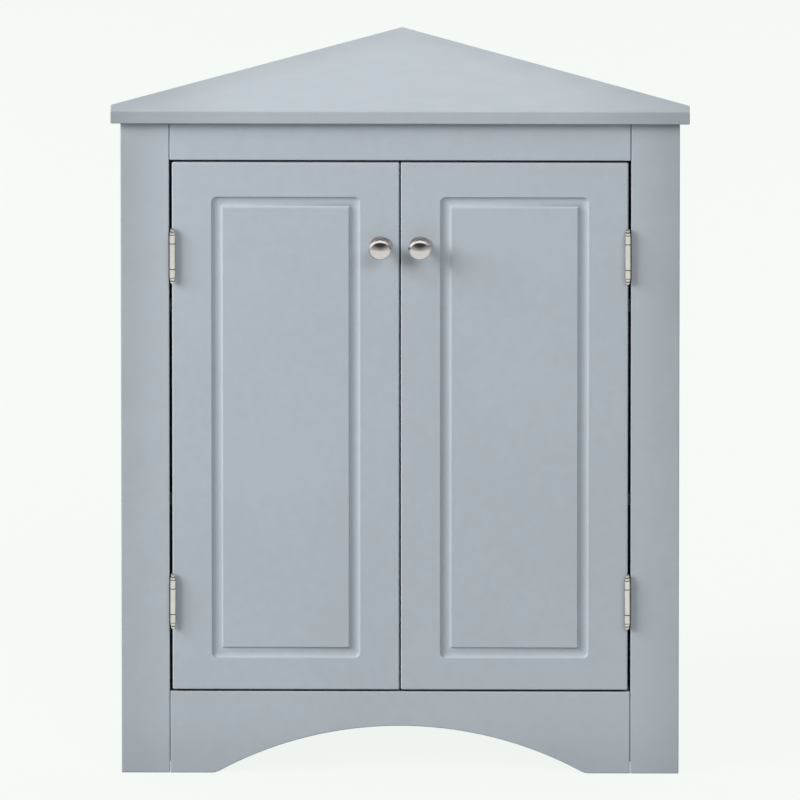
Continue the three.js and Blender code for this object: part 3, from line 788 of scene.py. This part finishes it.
class Workshop:
    """What every sub-assembly needs: the finishes, the smoothing, and a list of what is done."""

    crease = 32.0

    def __init__(self) -> None:
        """Makes the finishes and the smoothing modifier's group."""
        self.palette = Palette()
        self.smoothing = smoothing_group(self.crease)
        self.done: list[str] = []

    def keep(self, node: str, finish: Finish) -> None:
        """Keeps a node of the frame, smooths its facets and gives it its finish.

        Args:
            node: The node's name.
            finish: The finish.
        """
        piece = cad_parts[node]
        weld = piece.modifiers.new("smooth_facets", "NODES")
        weld.node_group = self.smoothing
        shade = piece.modifiers.new("even_shading", "WEIGHTED_NORMAL")
        shade.keep_sharp = True
        self.done.append(node)
        self.palette.dress(piece, finish)
        log.info("kept %s in %s", node, finish.name.lower())

    def place(self, piece: Piece, body: str, finish: Finish, replaced: str | None = None) -> None:
        """Lets a new piece ride on a body and gives it its finish.

        Args:
            piece: The new object, in its place.
            body: The body that it rides on.
            finish: The finish.
            replaced: The node that it stands for, if any.
        """
        self.palette.dress(piece, finish)
        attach(piece, body)
        if replaced:
            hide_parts(replaced)
            self.done.append(replaced)
        log.info("made %s on %s", piece.name, body)


def middle(node: str) -> Vector:
    """Gives the middle of a node's box."""
    low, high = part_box(node)
    return (low + high) / 2


def aim(piece: Piece, point: Vector, direction: Vector) -> None:
    """Puts a piece's origin at a point, with its own +Z along a direction."""
    turn = UPWARD.rotation_difference(direction).to_matrix().to_4x4()
    piece.matrix_world = Matrix.Translation(point) @ turn


@dataclass
class Case:
    """The boards of the case and the shelves in it."""

    shop: Workshop
    boards: tuple[str, ...] = (
        "top_board",
        "top_rail",
        "bottom_rail",
        "bottom_panel",
        "lower_shelf",
        "upper_shelf",
    )
    handed_boards: tuple[str, ...] = ("stile", "side_panel", "corner_batten")

    def build(self) -> None:
        """Paints every board."""
        for board in self.boards:
            self.shop.keep(board, Finish.PAINT)
        for side in Side:
            for board in self.handed_boards:
                self.shop.keep(f"{side.word}_{board}", Finish.PAINT)


@dataclass
class TurnedPiece:
    """A piece turned about its own +Z, which stands in for a plainer one in the frame."""

    name: str
    finish: Finish
    sides: int = 48
    crease: float = 35.0
    widening_share: float = 1.0
    mesh: Mesh | None = field(default=None, repr=False)

    def profile(self) -> Profile:
        """Gives pairs of radius and height, from the axis at the foot to the axis at the top."""
        raise NotImplementedError

    def cutter(self) -> Mesh | None:
        """Gives the mesh that is cut out of the turned one, if there is one."""
        return None

    def made(self) -> Mesh:
        """Makes the mesh once.

        Returns:
            The mesh that all of these pieces share.
        """
        if self.mesh is None:
            self.mesh = turned_mesh(self.name, self.profile(), self.sides, self.crease)
            self.mesh.transform(Matrix.Diagonal((self.widening_share, 1, 1, 1)))
            cutter = self.cutter()
            if cutter:
                self.mesh = cut_mesh(self.mesh, cutter)
        return self.mesh

    def stand_in(self, shop: Workshop, node: str, body: str, direction: Vector) -> None:
        """Puts one of these pieces where a node of the frame is.

        Args:
            shop: The finishes.
            node: The node that it replaces.
            body: The body that it rides on.
            direction: Where its +Z points.
        """
        heights = [height for _, height in self.profile()]
        half_way = (min(heights) + max(heights)) / 2
        piece = link(f"{node}_{self.name}", self.made())
        aim(piece, middle(node) - direction * half_way, direction)
        shop.place(piece, body, self.finish, node)


@dataclass
class Knob(TurnedPiece):
    """An oval mushroom knob in one piece: flange, cove, neck, flared underside, bevelled rim and dome."""

    name: str = "turned"
    finish: Finish = Finish.KNOB_NICKEL
    sides: int = 96
    crease: float = 12.0
    widening_share: float = 1.16
    projection: float = 0.029
    head_radius: float = 0.0117
    face_radius: float = 0.0098
    crown_radius: float = 0.0039
    dome_height: float = 0.0041
    rim_length: float = 0.0036
    bevel_length: float = 0.0025
    underside: float = 0.0065
    base_radius: float = 0.0103
    base_thickness: float = 0.0022
    neck_radius: float = 0.005
    easing: float = 0.0007
    flange_top_share: float = 1.5

    def profile(self) -> Profile:
        """Draws the knob from its seat to the middle of its face.

        Returns:
            Pairs of radius and height above the seat.
        """
        crease = self.projection - self.dome_height
        rim_back = crease - self.rim_length
        cove = self.base_radius - self.neck_radius
        soft = self.easing
        flange_edge = (self.base_radius - soft, self.base_thickness - soft)
        rim_edge = (self.head_radius - soft, rim_back + soft)
        bevel_foot = (self.head_radius, crease - self.bevel_length)
        flange_top = (self.base_radius - soft * self.flange_top_share, self.base_thickness)
        neck_foot = (self.neck_radius, self.base_thickness + cove)
        neck_top = (self.neck_radius, rim_back - self.underside)
        dome_start = (self.face_radius, crease)
        return [
            (0, 0),
            (self.base_radius - soft / 2, 0),
            (self.base_radius, soft / 2),
            *arc(flange_edge, soft, 0, 90, steps=9),
            *curve(flange_top, (self.neck_radius, self.base_thickness), neck_foot, steps=16),
            *curve(neck_top, (self.neck_radius, rim_back), (rim_edge[0], rim_back), steps=24),
            *arc(rim_edge, soft, -60, 0, steps=6),
            bevel_foot,
            *curve(dome_start, (self.crown_radius, self.projection), (0, self.projection), steps=20),
        ]


@dataclass
class HingePin(TurnedPiece):
    """A hinge pin with a turned finial at each end: a collar, a waist and a ball."""

    name: str = "turned"
    finish: Finish = Finish.HINGE_NICKEL
    hinge_height: float = 0.051
    seat_gap: float = 0.00045
    pin_radius: float = 0.0015
    collar_radius: float = 0.0031
    collar_height: float = 0.0034
    waist_radius: float = 0.0018
    ball_radius: float = 0.0025
    easing: float = 0.0004

    def profile(self) -> Profile:
        """Draws the pin from the lower ball to the upper one.

        Returns:
            Pairs of radius and height about the middle of the hinge.
        """
        seat = self.hinge_height / 2 + self.seat_gap
        waist = seat + self.collar_height
        rise = math.sqrt(self.ball_radius**2 - self.waist_radius**2)
        below = math.degrees(math.acos(self.waist_radius / self.ball_radius))
        collar_edge = (self.collar_radius - self.easing, seat + self.easing)
        shoulder = (self.collar_radius, seat + self.collar_height / 2)
        upper = [
            (self.pin_radius, seat),
            *arc(collar_edge, self.easing, -90, 0, steps=3),
            *curve(shoulder, (self.collar_radius, waist), (self.waist_radius, waist), steps=8),
            *arc((0, waist + rise), self.ball_radius, -below, 90, steps=14),
        ]
        upper[-1] = (0, upper[-1][1])
        return [(radius, -height) for radius, height in reversed(upper)] + upper


@dataclass
class Screw(TurnedPiece):
    """A screw with a cross recess, pan headed or countersunk. Its seat or its face is at z = 0."""

    radius: float = 0.0013
    length: float = 0.01
    head_radius: float = 0.0027
    head_height: float = 0.0018
    countersunk: bool = False
    land_share: float = 0.1
    rim_share: float = 1 / 3
    recess_reach_share: float = 0.62
    recess_depth_share: float = 0.75

    def profile(self) -> Profile:
        """Draws the screw from its tip to the middle of its head.

        Returns:
            Pairs of radius and height.
        """
        tip = [(0, -self.length), (self.radius, -self.length + self.radius)]
        if self.countersunk:
            land = self.head_height * self.land_share
            head = [(self.radius, -self.head_height), (self.head_radius, -land), (self.head_radius, 0)]
            return [*tip, *head, (0, 0)]
        rim = self.head_height * self.rim_share
        flat = (self.head_radius / 2, self.head_height)
        crown = curve((self.head_radius, rim), (self.head_radius, self.head_height), flat, steps=7)
        return [*tip, (self.radius, 0), (self.head_radius, 0), *crown, (0, self.head_height)]

    def cutter(self) -> Mesh:
        """Makes the cross that a driver fits, with wings that narrow towards the bottom.

        Returns:
            The closed mesh.
        """
        reach = self.head_radius * self.recess_reach_share
        top = 0 if self.countersunk else self.head_height
        return cross_cutter(reach, reach / 2, self.head_height * self.recess_depth_share, top)


@dataclass
class CamLock(TurnedPiece):
    """The cam of a knock-down joint, sunk in a board, with a cross for the driver in its face."""

    name: str = "die_cast"
    finish: Finish = Finish.ZINC
    radius: float = 0.0074
    length: float = 0.0112
    easing: float = 0.0005
    slot_width: float = 0.0018
    slot_depth: float = 0.003
    lip_share: float = 0.86

    def profile(self) -> Profile:
        """Draws the cam from its foot to its face, which is at z = 0.

        Returns:
            Pairs of radius and height.
        """
        inner = self.radius - self.easing
        lip = self.radius * self.lip_share
        return [
            (0, -self.length),
            (inner, -self.length),
            (self.radius, -self.length + self.easing),
            *arc((inner, -self.easing), self.easing, 0, 90, steps=4),
            (lip, 0),
            (lip - self.easing, -self.easing),
            (0, -self.easing),
        ]

    def cutter(self) -> Mesh:
        """Gives the cross in the cam's face."""
        reach = self.radius - self.slot_width
        return cross_cutter(reach, self.slot_width, self.slot_depth, 0)


@dataclass
class ShelfPin(TurnedPiece):
    """A shelf pin: a peg in the side panel, a collar against it, and a stub under the shelf."""

    name: str = "turned"
    finish: Finish = Finish.ZINC
    radius: float = 0.0024
    hold_depth: float = 0.008
    reach: float = 0.0095
    flange_radius: float = 0.0039
    flange_thickness: float = 0.0012
    flange_gap: float = 0.0003
    easing: float = 0.0004

    def profile(self) -> Profile:
        """Draws the pin from its peg to its stub, with the panel's face at z = 0.

        Returns:
            Pairs of radius and height.
        """
        inner = self.radius - self.easing
        foot, top = self.flange_gap, self.flange_gap + self.flange_thickness
        return [
            (0, -self.hold_depth),
            (inner, -self.hold_depth),
            (self.radius, -self.hold_depth + self.easing),
            (self.radius, foot),
            (self.flange_radius, foot),
            *arc((self.flange_radius - self.easing, top - self.easing), self.easing, 0, 90, steps=3),
            (self.radius, top),
            *arc((inner, self.reach - self.easing), self.easing, 0, 90, steps=3),
            (0, self.reach),
        ]


@dataclass
class Doors:
    """The two flush doors, their knobs, and the screws that hold the knobs."""

    shop: Workshop
    knob: Knob = field(default_factory=Knob)
    bolt: Screw = field(default_factory=lambda: Screw(
        "driven", Finish.ZINC, radius=0.0019, length=0.025, head_radius=0.0041, head_height=0.0026,
    ))

    def build(self) -> None:
        """Paints the boards and fits the knobs."""
        for side in Side:
            self.shop.keep(f"{side.word}_door", Finish.PAINT)
            self.knob.stand_in(self.shop, f"{side.word}_knob", side.door_body, FORWARD)
            self.bolt.stand_in(self.shop, f"{side.word}_knob_screw", side.door_body, -FORWARD)


@dataclass
class Hinges:
    """The four butt hinges: their leaves, pins, and the sixteen screws that hold them."""

    shop: Workshop
    levels: tuple[str, ...] = ("upper", "lower")
    knuckle_radius: float = 0.0035
    leaf_thickness: float = 0.0012
    leaf_gap: float = 0.0003
    screw_spacing: float = 0.03
    screw_from_back: float = 0.0052
    screw_sink: float = 0.00005
    pin: HingePin = field(default_factory=HingePin)
    screw: Screw = field(default_factory=lambda: Screw(
        "countersunk", Finish.HINGE_NICKEL, radius=0.0014, length=0.011, head_radius=0.00275,
        head_height=0.0014, countersunk=True,
    ))

    def build(self) -> None:
        """Dresses every hinge."""
        for side in Side:
            for level in self.levels:
                name = f"{side.word}_{level}_hinge"
                self.pin.stand_in(self.shop, f"{name}_pin", CABINET, UPWARD)
                axis = middle(f"{name}_pin")
                frame_face = self.knuckle_radius - self.leaf_thickness
                door_face = frame_face - self.leaf_gap
                self.fasten(side, f"{name}_frame_leaf", CABINET, axis, frame_face, -1)
                self.fasten(side, f"{name}_door_leaf", side.door_body, axis, door_face, 1)

    def fasten(self, side: Side, leaf: str, body: str, axis: Vector, face: float, looks: int) -> None:
        """Dresses a leaf and sinks its two screws flush with it.

        Args:
            side: Whose hinge it is.
            leaf: The leaf's node.
            body: The body that the leaf is fixed to.
            axis: The middle of the hinge's pin.
            face: From the pin to the face that holds the heads, away from the meeting edges.
            looks: Whether that face looks away from the meeting edges, 1, or towards them, -1.
        """
        self.shop.keep(leaf, Finish.HINGE_NICKEL)
        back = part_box(leaf)[1].y - self.screw_from_back
        direction = Vector((side.value * looks, 0, 0))
        for place, sign in (("top", 1), ("bottom", -1)):
            height = axis.z + sign * self.screw_spacing / 2
            point = Vector((axis.x + side.value * face, back, height)) - direction * self.screw_sink
            piece = link(f"{leaf}_{place}_screw", self.screw.made())
            aim(piece, point, direction)
            self.shop.place(piece, body, self.screw.finish)


@dataclass
class Fittings:
    """The loose and sunk fittings inside the case: cams, shelf pins and the magnetic catch."""

    shop: Workshop
    cam: CamLock = field(default_factory=CamLock)
    pin: ShelfPin = field(default_factory=ShelfPin)
    catch_screw: Screw = field(default_factory=lambda: Screw("driven", Finish.ZINC))
    strike_screw: Screw = field(default_factory=lambda: Screw(
        "driven", Finish.ZINC, length=0.0109, head_height=0.0012, countersunk=True,
    ))

    def build(self) -> None:
        """Dresses every fitting."""
        self.shop.keep("catch_housing", Finish.PLASTIC)
        for side in Side:
            self.rail_and_panel_cams(side)
            self.shelf_pins(side)
            self.catch(side)

    def rail_and_panel_cams(self, side: Side) -> None:
        """Fits the cams of one side, in both rails and in the side panel.

        Args:
            side: The side.
        """
        for rail in ("top_rail", "bottom_rail"):
            self.cam.stand_in(self.shop, f"{rail}_{side.word}_cam_lock", CABINET, -FORWARD)
        for place in ("front", "back"):
            self.cam.stand_in(self.shop, f"{side.word}_panel_{place}_cam_lock", CABINET, side.out_of_wall)

    def shelf_pins(self, side: Side) -> None:
        """Fits the shelf pins of one side.

        Args:
            side: The side.
        """
        for level in ("lower", "upper"):
            for place in ("front", "back"):
                name = f"{side.word}_{level}_{place}_shelf_pin"
                self.pin.stand_in(self.shop, name, CABINET, side.out_of_wall)

    def catch(self, side: Side) -> None:
        """Dresses one half of the catch and the strike on the door that it holds.

        Args:
            side: The side.
        """
        self.shop.keep(f"{side.word}_catch_magnet", Finish.FERRITE)
        for level in ("lower", "upper"):
            self.shop.keep(f"{side.word}_{level}_pole_plate", Finish.STEEL)
        self.catch_screw.stand_in(self.shop, f"{side.word}_catch_screw", CABINET, UPWARD)
        self.shop.keep(f"{side.word}_strike_plate", Finish.STEEL)
        self.strike_screw.stand_in(self.shop, f"{side.word}_strike_screw", side.door_body, -FORWARD)


@dataclass(frozen=True)
class SoftBox:
    """A soft rectangular lamp."""

    name: str
    azimuth: float
    elevation: float
    distance: float
    width: float
    height: float
    power: float

    def build(self, target: Vector) -> None:
        """Hangs the lamp and turns it to the target.

        Args:
            target: What it lights.
        """
        lamp = bpy.data.lights.new(self.name, "AREA")
        lamp.shape, lamp.size, lamp.size_y = "RECTANGLE", self.width, self.height
        lamp.energy = self.power
        piece = link(self.name, lamp)
        stand_off(piece, target, outwards(self.azimuth, self.elevation), self.distance)
        piece.visible_camera = piece.visible_glossy = False


@dataclass(frozen=True)
class MirrorCard:
    """A round bright card that only mirrors show."""

    name: str
    azimuth: float
    elevation: float
    distance: float
    radius: float
    strength: float

    def build(self, target: Vector, colour: Colour) -> None:
        """Hangs the card and turns it to the target.

        Args:
            target: What it faces.
            colour: Its colour.
        """
        made = bmesh.new()
        bmesh.ops.create_circle(made, cap_ends=True, radius=self.radius, segments=48)
        piece, desk = stage_prop(self.name, made)
        away = outwards(self.azimuth, self.elevation)
        aim(piece, target + away * self.distance, away)
        glow = desk.add("ShaderNodeEmission", {"Color": colour, "Strength": self.strength}).outputs[0]
        desk.add("ShaderNodeOutputMaterial", {"Surface": glow})
        show_in_mirrors_only(piece)


@dataclass(frozen=True)
class Studio:
    """The camera of the photograph, a pale floor that has no end, and soft lamps."""

    lens: float = 1600.0
    sensor: float = 36.0
    azimuth: float = 0.4
    elevation: float = 16.3
    seen_width: float = 0.924
    aim_right: float = -0.00014
    aim_height: float = 0.4503
    near_share: float = 0.01
    far_share: float = 3.0
    backdrop: Colour = screen(244, 249, 245)
    floor_colour: Colour = screen(148, 150, 149)
    fill_colour: Colour = screen(250, 252, 255)
    fill: float = 0.15
    floor_reach: float = 14.0
    shadow_share: float = 0.05
    lamps: tuple[SoftBox, ...] = (
        SoftBox("key", azimuth=-64, elevation=26, distance=6.6, width=3.7, height=3.8, power=520),
        SoftBox("front_fill", azimuth=28, elevation=36, distance=6.5, width=3.8, height=2.4, power=147),
        SoftBox("back_left", azimuth=-135, elevation=21, distance=4.0, width=2.4, height=2.4, power=84),
        SoftBox("back_right", azimuth=135, elevation=21, distance=4.0, width=2.4, height=2.4, power=84),
    )
    flag_distance: float = 4.2
    flag_grid: tuple[int, int] = (56, 12)
    flag_turn: tuple[float, float] = (-84.0, 140.0)
    flag_foot: float = -5.5
    flag_heads: tuple[Point, ...] = ((-84.0, 64.0), (78.0, 64.0), (90.0, 30.0), (140.0, 30.0))
    flag_pale: Colour = screen(224, 225, 224)
    flag_dark: Colour = screen(64, 64, 62)
    flag_dark_from: float = 40.0
    cards: tuple[MirrorCard, ...] = (
        MirrorCard("overhead_card", azimuth=0, elevation=90, distance=4.0, radius=2.2, strength=1.3),
        MirrorCard("left_card", azimuth=-98, elevation=40, distance=4.5, radius=1.6, strength=1.7),
    )

    def build(self) -> None:
        """Sets up the camera, the floor, the lamps and the world."""
        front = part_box("left_stile")[0].y
        target = Vector((self.aim_right, front, self.aim_height))
        self.camera(target)
        self.floor()
        self.flag(target)
        for card in self.cards:
            card.build(target, self.backdrop)
        for lamp in self.lamps:
            lamp.build(target)
        self.world()
        bpy.context.scene.view_settings.view_transform = "Standard"

    def camera(self, target: Vector) -> None:
        """Sets the camera far off, as a long lens sees the cupboard.

        Args:
            target: The point in the middle of the picture.
        """
        lens = bpy.data.cameras.new("long_lens")
        lens.lens, lens.sensor_width = self.lens, self.sensor
        piece = link("long_lens", lens)
        distance = self.seen_width * self.lens / self.sensor
        stand_off(piece, target, outwards(self.azimuth, self.elevation), distance)
        lens.clip_start, lens.clip_end = distance * self.near_share, distance * self.far_share
        bpy.context.scene.camera = piece

    def floor(self) -> None:
        """Lays a floor as pale as the backdrop, which keeps a breath of the cupboard's shadow."""
        made = bmesh.new()
        bmesh.ops.create_grid(made, x_segments=8, y_segments=8, size=self.floor_reach)
        _, desk = stage_prop("floor", made)
        lit = desk.add("ShaderNodeBsdfDiffuse", {"Color": self.backdrop}).outputs[0]
        even = desk.add("ShaderNodeEmission", {"Color": self.backdrop}).outputs[0]
        plain = desk.add("ShaderNodeBsdfDiffuse", {"Color": self.floor_colour}).outputs[0]
        seen = desk.either(self.shadow_share, even, lit)
        above = desk.either(seen_directly(desk), plain, seen)
        backfacing = desk.add("ShaderNodeNewGeometry").outputs["Backfacing"]
        clear = desk.add("ShaderNodeBsdfTransparent").outputs[0]
        desk.add("ShaderNodeOutputMaterial", {"Surface": desk.either(backfacing, above, clear)})

    def flag(self, target: Vector) -> None:
        """Hangs a graded cloth round the camera's side, which only mirrors show.

        Args:
            target: The middle of its sweep.
        """
        steps, rows = self.flag_grid
        first, last = self.flag_turn
        turns = [first + (last - first) * step / steps for step in range(steps + 1)]
        made = bmesh.new()
        grid = []
        for row in range(rows + 1):
            line = []
            for turn in turns:
                rise = self.flag_foot + (self.flag_head(turn) - self.flag_foot) * row / rows
                line.append(made.verts.new(target + outwards(turn, rise) * self.flag_distance))
            grid.append(line)
        for low, high in zip(grid, grid[1:]):
            for step in range(steps):
                made.faces.new((low[step], low[step + 1], high[step + 1], high[step]))
        piece, desk = stage_prop("graded_cloth", made)
        place = desk.add("ShaderNodeTexCoord").outputs["Object"]
        height = desk.add("ShaderNodeSeparateXYZ", {"Vector": place}).outputs["Z"]
        rises = (self.flag_foot, self.flag_dark_from)
        low, high = (target.z + self.flag_distance * outwards(0, rise).z for rise in rises)
        inputs = {"Value": height, "From Min": low, "From Max": high}
        share = desk.add("ShaderNodeMapRange", inputs).outputs["Result"]
        shade = desk.blend(share, self.flag_pale, self.flag_dark)
        cloth = desk.add("ShaderNodeEmission", {"Color": shade}).outputs[0]
        desk.add("ShaderNodeOutputMaterial", {"Surface": cloth})
        show_in_mirrors_only(piece)

    def flag_head(self, turn: float) -> float:
        """Gives how high the cloth reaches.

        Args:
            turn: Degrees round from the front.

        Returns:
            Degrees above the target.
        """
        for (start, low), (end, high) in zip(self.flag_heads, self.flag_heads[1:]):
            if turn <= end:
                return low + (high - low) * (turn - start) / (end - start)
        return self.flag_heads[-1][1]

    def world(self) -> None:
        """Fills the studio with even light, and shows the backdrop to the camera and to gloss."""
        world = bpy.data.worlds.new("studio")
        bpy.context.scene.world = world
        world.use_nodes = True
        desk = NodeDesk(world.node_tree)
        inputs = {"Color": self.fill_colour, "Strength": self.fill}
        light = desk.add("ShaderNodeBackground", inputs).outputs[0]
        wall = desk.add("ShaderNodeBackground", {"Color": self.backdrop}).outputs[0]
        desk.add("ShaderNodeOutputWorld", {"Surface": desk.either(seen_directly(desk), light, wall)})


def stage_prop(name: str, made: bmesh.types.BMesh) -> tuple[Piece, NodeDesk]:
    """Adds a piece of the studio, which is no part of the cupboard.

    Args:
        name: The name of the object and its material.
        made: Its shape, which is freed.

    Returns:
        The object, and the desk of its material.
    """
    piece = link(name, as_mesh(made, name))
    material = bpy.data.materials.new(name)
    material.use_nodes = True
    piece.data.materials.append(material)
    return piece, NodeDesk(material.node_tree)


def stand_off(piece: Piece, target: Vector, away: Vector, distance: float) -> None:
    """Puts a lamp or camera off in a direction, looking back at the target."""
    piece.location = target + away * distance
    piece.rotation_euler = away.to_track_quat("Z", "Y").to_euler()


def show_in_mirrors_only(piece: Piece) -> None:
    """Hides a piece from every ray but those of a mirror."""
    piece.visible_camera = piece.visible_diffuse = piece.visible_shadow = False
    piece.visible_transmission = piece.visible_volume_scatter = False


def seen_directly(desk: NodeDesk) -> Socket:
    """Tells camera, mirror and glass rays from the rays that only carry light.

    Args:
        desk: The tree that asks.

    Returns:
        One for a ray of the first kind, and zero for others.
    """
    path = desk.add("ShaderNodeLightPath").outputs
    mirrored = desk.math("MAXIMUM", path["Is Glossy Ray"], path["Is Transmission Ray"])
    return desk.math("MAXIMUM", path["Is Camera Ray"], mirrored)


def outwards(azimuth: float, elevation: float) -> Vector:
    """Gives the unit direction some degrees to the right of the front and above the floor."""
    turn, rise = math.radians(azimuth), math.radians(elevation)
    return Vector((math.sin(turn) * math.cos(rise), -math.cos(turn) * math.cos(rise), math.sin(rise)))


def main() -> None:
    """Builds the studio and the cupboard in order."""
    logging.basicConfig(level=logging.INFO, format="%(message)s")
    Studio().build()
    shop = Workshop()
    for assembly in (Case, Doors, Hinges, Fittings):
        assembly(shop).build()
    left_over = sorted(set(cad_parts) - set(shop.done))
    log.info("nodes without a finish: %s", left_over or "none")


if __name__ == "__main__":
    main()
